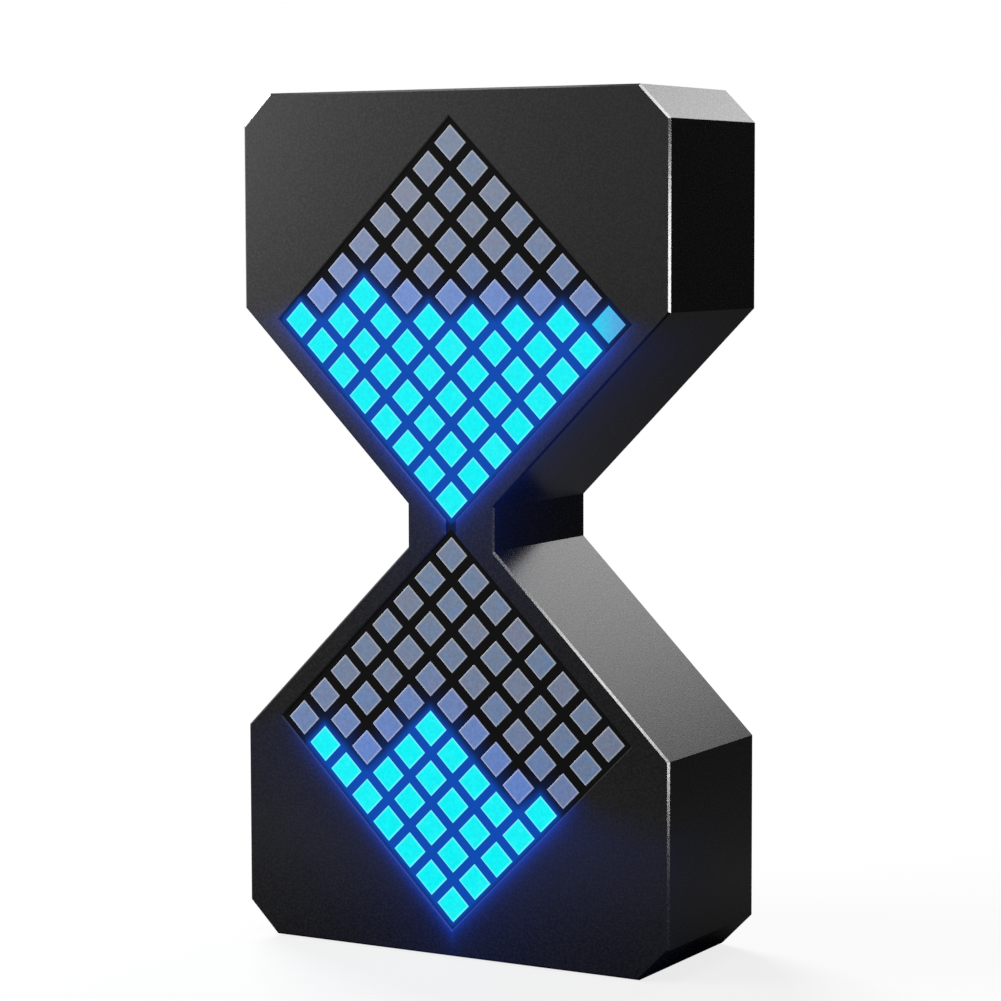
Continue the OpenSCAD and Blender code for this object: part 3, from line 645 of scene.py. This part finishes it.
def paintedGlowAndWalls(tree):  # painted blue glow that stands in for light from the windows, and where the walls around the display are
    spot = spotOf(tree)
    reach = display["count"] * display["pitch"] * slant + display["border"]
    behind = calc(tree, "SUBTRACT", spot["Y"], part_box("housing")[0].y)
    total, beside = 0.0, 0.0
    for side in sand:
        z = calc(tree, "SUBTRACT", spot["Z"], fieldMiddle[side])
        out = calc(tree, "ADD", calc(tree, "ABSOLUTE", spot["X"]), calc(tree, "ABSOLUTE", z))
        gap = calc(tree, "MULTIPLY", calc(tree, "MAXIMUM", calc(tree, "SUBTRACT", out, reach), 0.0), slant)
        beside = calc(tree, "MAXIMUM", beside, calc(tree, "LESS_THAN", gap, case["wallReach"]))
        gap = calc(tree, "ADD", gap, behind)
        near = fadeOut(tree, gap, case["glowNear"], case["glowNearReach"])
        wide = fadeOut(tree, gap, case["glowWide"], case["glowWideReach"])
        level = calc(tree, "MULTIPLY_ADD", spot["X"], case["glowTilt"][side], z)
        top, fade = case["glowTop"][side], case["glowFade"]
        below = ramp(tree, level, (top - fade, top + fade), (1, 0), smooth=True)
        light = calc(tree, "MULTIPLY", calc(tree, "ADD", near, wide), below)
        total = calc(tree, "ADD", total, light)
    lean = calc(tree, "MULTIPLY_ADD", spot["X"], case["glowLean"], 1.0)
    wall = calc(tree, "MULTIPLY", beside, calc(tree, "GREATER_THAN", behind, case["wallDepth"]))
    return calc(tree, "MULTIPLY", total, lean), wall


def casePlastic(name, lit):
    mat, tree, shader = newFinish(name)
    fine = noiseAt(tree, case["grain"], case["detail"])
    cloud = noiseAt(tree, case["cloud"], case["detail"])
    blend = calc(tree, "MULTIPLY", cloud, 1 - case["grainShare"])
    tone = ramp(tree, calc(tree, "MULTIPLY_ADD", fine, case["grainShare"], blend), noiseSpan, (0, 1))
    tree.links.new(blendColours(tree, tone, case["dark"], case["light"]), shader.inputs["Base Color"])
    normal = spotOf(tree, "Normal")
    facing = calc(tree, "ABSOLUTE", normal["Y"])
    slope = calc(tree, "MULTIPLY", facing, calc(tree, "SUBTRACT", 1.0, facing))
    isEdge = calc(tree, "GREATER_THAN", slope, case["edgeFrom"])
    isMatt = calc(tree, "GREATER_THAN", calc(tree, "ABSOLUTE", normal["Z"]), case["endFrom"])
    # the housing's copy: a painted blue glow as emission on its front, and matt display walls
    if lit:
        glow, isWall = paintedGlowAndWalls(tree)
        isMatt = calc(tree, "MAXIMUM", isMatt, isWall)
        shader.inputs["Emission Color"].default_value = (*case["glowColour"], 1)
        tree.links.new(glow, shader.inputs["Emission Strength"])
    span = (case["rough"] - case["roughSpread"], case["rough"] + case["roughSpread"])
    polish = calc(tree, "MULTIPLY", isEdge, case["rough"] - case["edgeRough"])
    matt = calc(tree, "MULTIPLY", isMatt, case["mattRough"] - case["rough"])
    rough = calc(tree, "SUBTRACT", ramp(tree, fine, noiseSpan, span), polish)
    tree.links.new(calc(tree, "ADD", rough, matt), shader.inputs["Roughness"])
    shader.inputs["Specular IOR Level"].default_value = case["gloss"]
    bumpFrom(tree, shader, fine, case["grainDepth"])
    return mat


# grid: plain black, with a painted deep blue glow between lit windows
gridFinish = dict(
    colour=(0.0035, 0.0035, 0.004), rough=0.6, gloss=0.03, grain=0.3 * mm, grainDepth=0.006 * mm,
    glowColour=(0.0, 0.15, 1.0), glow=0.44, glowPower=1.6,
)


def gridPlastic():
    spec = gridFinish
    mat = moulded("gridPlastic", spec["colour"], spec["rough"], spec["grain"], spec["grainDepth"])
    tree = mat.node_tree
    shader = tree.nodes["Principled BSDF"]
    shader.inputs["Specular IOR Level"].default_value = spec["gloss"]
    shader.inputs["Emission Color"].default_value = (*spec["glowColour"], 1)
    # the painted blue glow, as emission
    paintedShine = calc(tree, "POWER", stored(tree, "paintedShine"), spec["glowPower"])
    tree.links.new(calc(tree, "MULTIPLY", paintedShine, spec["glow"]), shader.inputs["Emission Strength"])
    return mat


# windows: specks and grain that all of them have
windowGrain = dict(
    speckle=0.55 * mm, speckSpan=(0.35, 0.65), grain=0.25 * mm, grainDepth=0.004 * mm, detail=3.0,
)


def speckled(tree, colour, mottle):  # darker specks, up to the mottle's share
    speck = ramp(tree, noiseAt(tree, windowGrain["speckle"]), windowGrain["speckSpan"], (0, mottle))
    return blendColours(tree, speck, colour, (0, 0, 0))


# windows that are off: milky grey with a lavender cast; beside the lit ones a painted blue tint and a
# painted blue glow stand in for the light they spill
offWindow = dict(
    grey=(0.20, 0.275, 0.435), rose=(0.24, 0.27, 0.41), blue=(0.155, 0.28, 0.53),
    cloud=2.2 * mm, cloudShare=0.5, tintShare=0.7, fullTint=0.8, mottle=0.2,
    rim=(0.60, 0.63, 0.72), rimPower=4.0, rough=0.45, roughSpread=0.05,
    paintedSpillColour=(0.0, 0.12, 1.0), paintedSpill=0.21,
)


def offPlastic():
    spec = offWindow
    mat, tree, shader = newFinish("windowOff")
    paintedSpill = stored(tree, "paintedSpill")
    cloud = noiseAt(tree, spec["cloud"], windowGrain["detail"])
    patches = ramp(tree, cloud, noiseSpan, (-spec["cloudShare"], spec["cloudShare"]))
    blotch = calc(tree, "ADD", patches, calc(tree, "MULTIPLY", stored(tree, "tint"), spec["tintShare"]))
    towardRose = ramp(tree, blotch, (0, spec["fullTint"]), (0, 1))
    towardBlue = ramp(tree, blotch, (0, -spec["fullTint"]), (0, 1))
    colour = blendColours(tree, towardRose, spec["grey"], spec["rose"])
    colour = blendColours(tree, towardBlue, colour, spec["blue"])
    # painted blue tint beside the lit windows, standing in for their spilt light
    colour = blendColours(tree, paintedSpill, colour, spec["blue"])
    colour = speckled(tree, colour, spec["mottle"])
    # pale rim: a painted highlight along the pad's edge
    rim = calc(tree, "POWER", stored(tree, "rim"), spec["rimPower"])
    tree.links.new(blendColours(tree, rim, colour, spec["rim"]), shader.inputs["Base Color"])
    # painted blue glow from the same spilt light
    shader.inputs["Emission Color"].default_value = (*spec["paintedSpillColour"], 1)
    tree.links.new(calc(tree, "MULTIPLY", paintedSpill, spec["paintedSpill"]), shader.inputs["Emission Strength"])
    fine = noiseAt(tree, windowGrain["grain"])
    unevenRough(tree, shader, fine, spec["rough"], spec["roughSpread"])
    bumpFrom(tree, shader, fine, windowGrain["grainDepth"])
    return mat


# lit windows: cyan, slightly uneven, with a painted highlight making them paler at the rim; the dim one
# fades to the right
shining = dict(
    glow=1.0, mottle=0.1, cloud=1.6 * mm, cloudSpan=(0.45, 0.75), cloudShare=0.6, tintShare=0.35,
    rimPower=5.0, rimShare=0.6, rough=0.45, roughSpread=0.05, gloss=0.05,
    base=(0.002, 0.03, 0.04), baseLight=(0.003, 0.04, 0.05),
)
litWindow = dict(shining, core=(0.0, 0.90, 0.94), pale=(0.02, 0.92, 0.94), rim=(0.25, 0.95, 1.0))
dimWindow = dict(
    shining, core=(0.0, 0.74, 1.0), pale=(0.12, 0.29, 0.66), rim=(0.08, 0.50, 0.92),
    fade=(27 * mm, 34 * mm),  # along X
)


def litPlastic(name, spec):
    mat, tree, shader = newFinish(name)
    cloud = noiseAt(tree, spec["cloud"], windowGrain["detail"])
    if "fade" in spec:
        uneven = ramp(tree, spotOf(tree)["X"], spec["fade"], (0, 1))
    else:
        patches = ramp(tree, cloud, spec["cloudSpan"], (0, spec["cloudShare"]))
        uneven = calc(tree, "MULTIPLY_ADD", stored(tree, "tint"), spec["tintShare"], patches)
    colour = blendColours(tree, ramp(tree, uneven, (0, 1), (0, 1)), spec["core"], spec["pale"])
    colour = speckled(tree, colour, spec["mottle"])
    # paler rim: a painted highlight mixed into the LED glow
    rim = calc(tree, "POWER", stored(tree, "rim"), spec["rimPower"])
    rim = calc(tree, "MULTIPLY", rim, spec["rimShare"])
    tree.links.new(blendColours(tree, rim, colour, spec["rim"]), shader.inputs["Emission Color"])
    shader.inputs["Emission Strength"].default_value = spec["glow"]
    tree.links.new(blendColours(tree, cloud, spec["base"], spec["baseLight"]), shader.inputs["Base Color"])
    unevenRough(tree, shader, cloud, spec["rough"], spec["roughSpread"])
    shader.inputs["Specular IOR Level"].default_value = spec["gloss"]
    bumpFrom(tree, shader, noiseAt(tree, windowGrain["grain"]), windowGrain["grainDepth"])
    return mat


# boards: solder mask over fine copper tracks
board = dict(
    mask=(0.012, 0.045, 0.025), track=(0.03, 0.10, 0.05), cell=2.4 * mm, randomness=0.7, width=0.12,
    trackHeight=0.03 * mm, rough=0.315, roughSpread=0.065, cloud=1 * mm,
)


def boardFinish():
    mat, tree, shader = newFinish("circuitBoard")
    spot = addNode(tree, "TexCoord").outputs["Object"]
    sockets = {"Vector": spot, "Scale": 1 / board["cell"], "Randomness": board["randomness"]}
    edges = addNode(tree, "TexVoronoi", sockets, feature="DISTANCE_TO_EDGE").outputs["Distance"]
    track = calc(tree, "LESS_THAN", edges, board["width"])
    tree.links.new(blendColours(tree, track, board["mask"], board["track"]), shader.inputs["Base Color"])
    unevenRough(tree, shader, noiseAt(tree, board["cloud"]), board["rough"], board["roughSpread"])
    bumpFrom(tree, shader, track, board["trackHeight"])
    return mat


# ribbon: pale film with flat wires in it
ribbon = dict(
    film=(0.70, 0.72, 0.75), wire=(0.42, 0.44, 0.48), pitch=1 * mm, softness=0.2,
    wireHeight=0.03 * mm, rough=0.30, roughSpread=0.05, cloud=1 * mm,
)


def ribbonFinish():
    mat, tree, shader = newFinish("ribbonFilm")
    wave = calc(tree, "SINE", calc(tree, "MULTIPLY", spotOf(tree)["X"], 2 * math.pi / ribbon["pitch"]))
    wire = ramp(tree, wave, (-ribbon["softness"], ribbon["softness"]), (0, 1))
    tree.links.new(blendColours(tree, wire, ribbon["film"], ribbon["wire"]), shader.inputs["Base Color"])
    unevenRough(tree, shader, noiseAt(tree, ribbon["cloud"]), ribbon["rough"], ribbon["roughSpread"])
    bumpFrom(tree, shader, wire, ribbon["wireHeight"])
    return mat


# metals: noise stretched into fine brush lines
brushed = dict(detail=3.0, darker=-0.12, lighter=0.1, roughSpread=0.07)


def metal(name, colour, rough, brush=(1, 1, 8), grain=0.5 * mm, depth=0.004 * mm):
    mat, tree, shader = newFinish(name)
    lines = noiseAt(tree, grain, brushed["detail"], brush)
    dark, light = shade(colour, brushed["darker"]), shade(colour, brushed["lighter"])
    tree.links.new(blendColours(tree, lines, dark, light), shader.inputs["Base Color"])
    unevenRough(tree, shader, lines, rough, brushed["roughSpread"])
    shader.inputs["Metallic"].default_value = 1.0
    bumpFrom(tree, shader, lines, depth)
    return mat


# one finish for each slot, most with a colour and roughness
# after them mouldings can have grain, depth and mottle, and metals brush, grain and depth
finishes = {
    "case_plastic": casePlastic("casePlastic", False),
    "grid_plastic": gridPlastic(),
    "window_off": offPlastic(),
    "window_lit": litPlastic("windowLit", litWindow),
    "window_dim": litPlastic("windowDim", dimWindow),
    "mark_paint": moulded("markPaint", (0.55, 0.55, 0.56), 0.6, 0.2 * mm, 0.01 * mm),
    "well_plastic": moulded("wellPlastic", (0.78, 0.78, 0.75), 0.6),
    "circuit_board": boardFinish(),
    "led_package": moulded("ledPackage", (0.80, 0.78, 0.62), 0.35, 0.8 * mm, 0.004 * mm, 0.2),
    "chip_resin": moulded("chipResin", (0.02, 0.02, 0.022), 0.55, 0.2 * mm, 0.01 * mm, 0.3),
    "connector_plastic": moulded("connectorPlastic", (0.72, 0.69, 0.60), 0.45),
    "ribbon_film": ribbonFinish(),
    "gold_plate": metal("goldPlate", (0.80, 0.58, 0.22), 0.28),
    "plated_steel": metal("platedSteel", (0.60, 0.61, 0.62), 0.28, (8, 1, 8)),
    "switch_plastic": moulded("switchPlastic", (0.68, 0.68, 0.66), 0.5),
    "control_plastic": moulded("controlPlastic", (0.022, 0.022, 0.023), 0.38, 0.25 * mm, 0.010 * mm, 0.2),
    "clear_plastic": moulded("clearPlastic", (0.78, 0.82, 0.86), 0.25, 0.6 * mm, 0.004 * mm, 0.05,
                             Transmission_Weight=0.5),
    "speaker_metal": metal("speakerMetal", (0.10, 0.10, 0.11), 0.42, (1, 6, 1)),
    "foam": moulded("foam", (0.02, 0.02, 0.02), 0.85, 0.5 * mm, 0.08 * mm, 0.4),
    "wire_red": moulded("wireRed", (0.45, 0.02, 0.02), 0.42, 0.6 * mm),
    "wire_black": moulded("wireBlack", (0.015, 0.015, 0.015), 0.42, 0.6 * mm),
    "cell_foil": metal("cellFoil", (0.55, 0.56, 0.59), 0.36, (1, 1, 1), 6 * mm, 0.25 * mm),
    "tape": moulded("tape", (0.58, 0.55, 0.43), 0.8, 0.5 * mm, 0.05 * mm),
    "black_screw": metal("blackScrew", (0.05, 0.05, 0.052), 0.40, (1, 6, 1)),
    "zinc_screw": metal("zincScrew", (0.52, 0.53, 0.55), 0.32, (1, 6, 1)),
    "foot_rubber": moulded("footRubber", (0.018, 0.018, 0.019), 0.75, 0.35 * mm, 0.03 * mm, 0.25),
}


def dress(obj, mat):
    obj.data.materials.clear()
    obj.data.materials.append(mat)


for part in frame["record"]["subparts"]:
    dress(nodes[part["node"]], finishes[part["material_slot"]])
# the housing gets the copy with the painted blue glow on its front
dress(nodes["housing"], casePlastic("casePlasticPaintedGlow", True))
for (side, state), obj in windows.items():
    dress(obj, finishes["window_" + state])
dress(grid, finishes["grid_plastic"])
dress(controlMarks, finishes["mark_paint"])
print("finishes:", len(finishes) + 1)
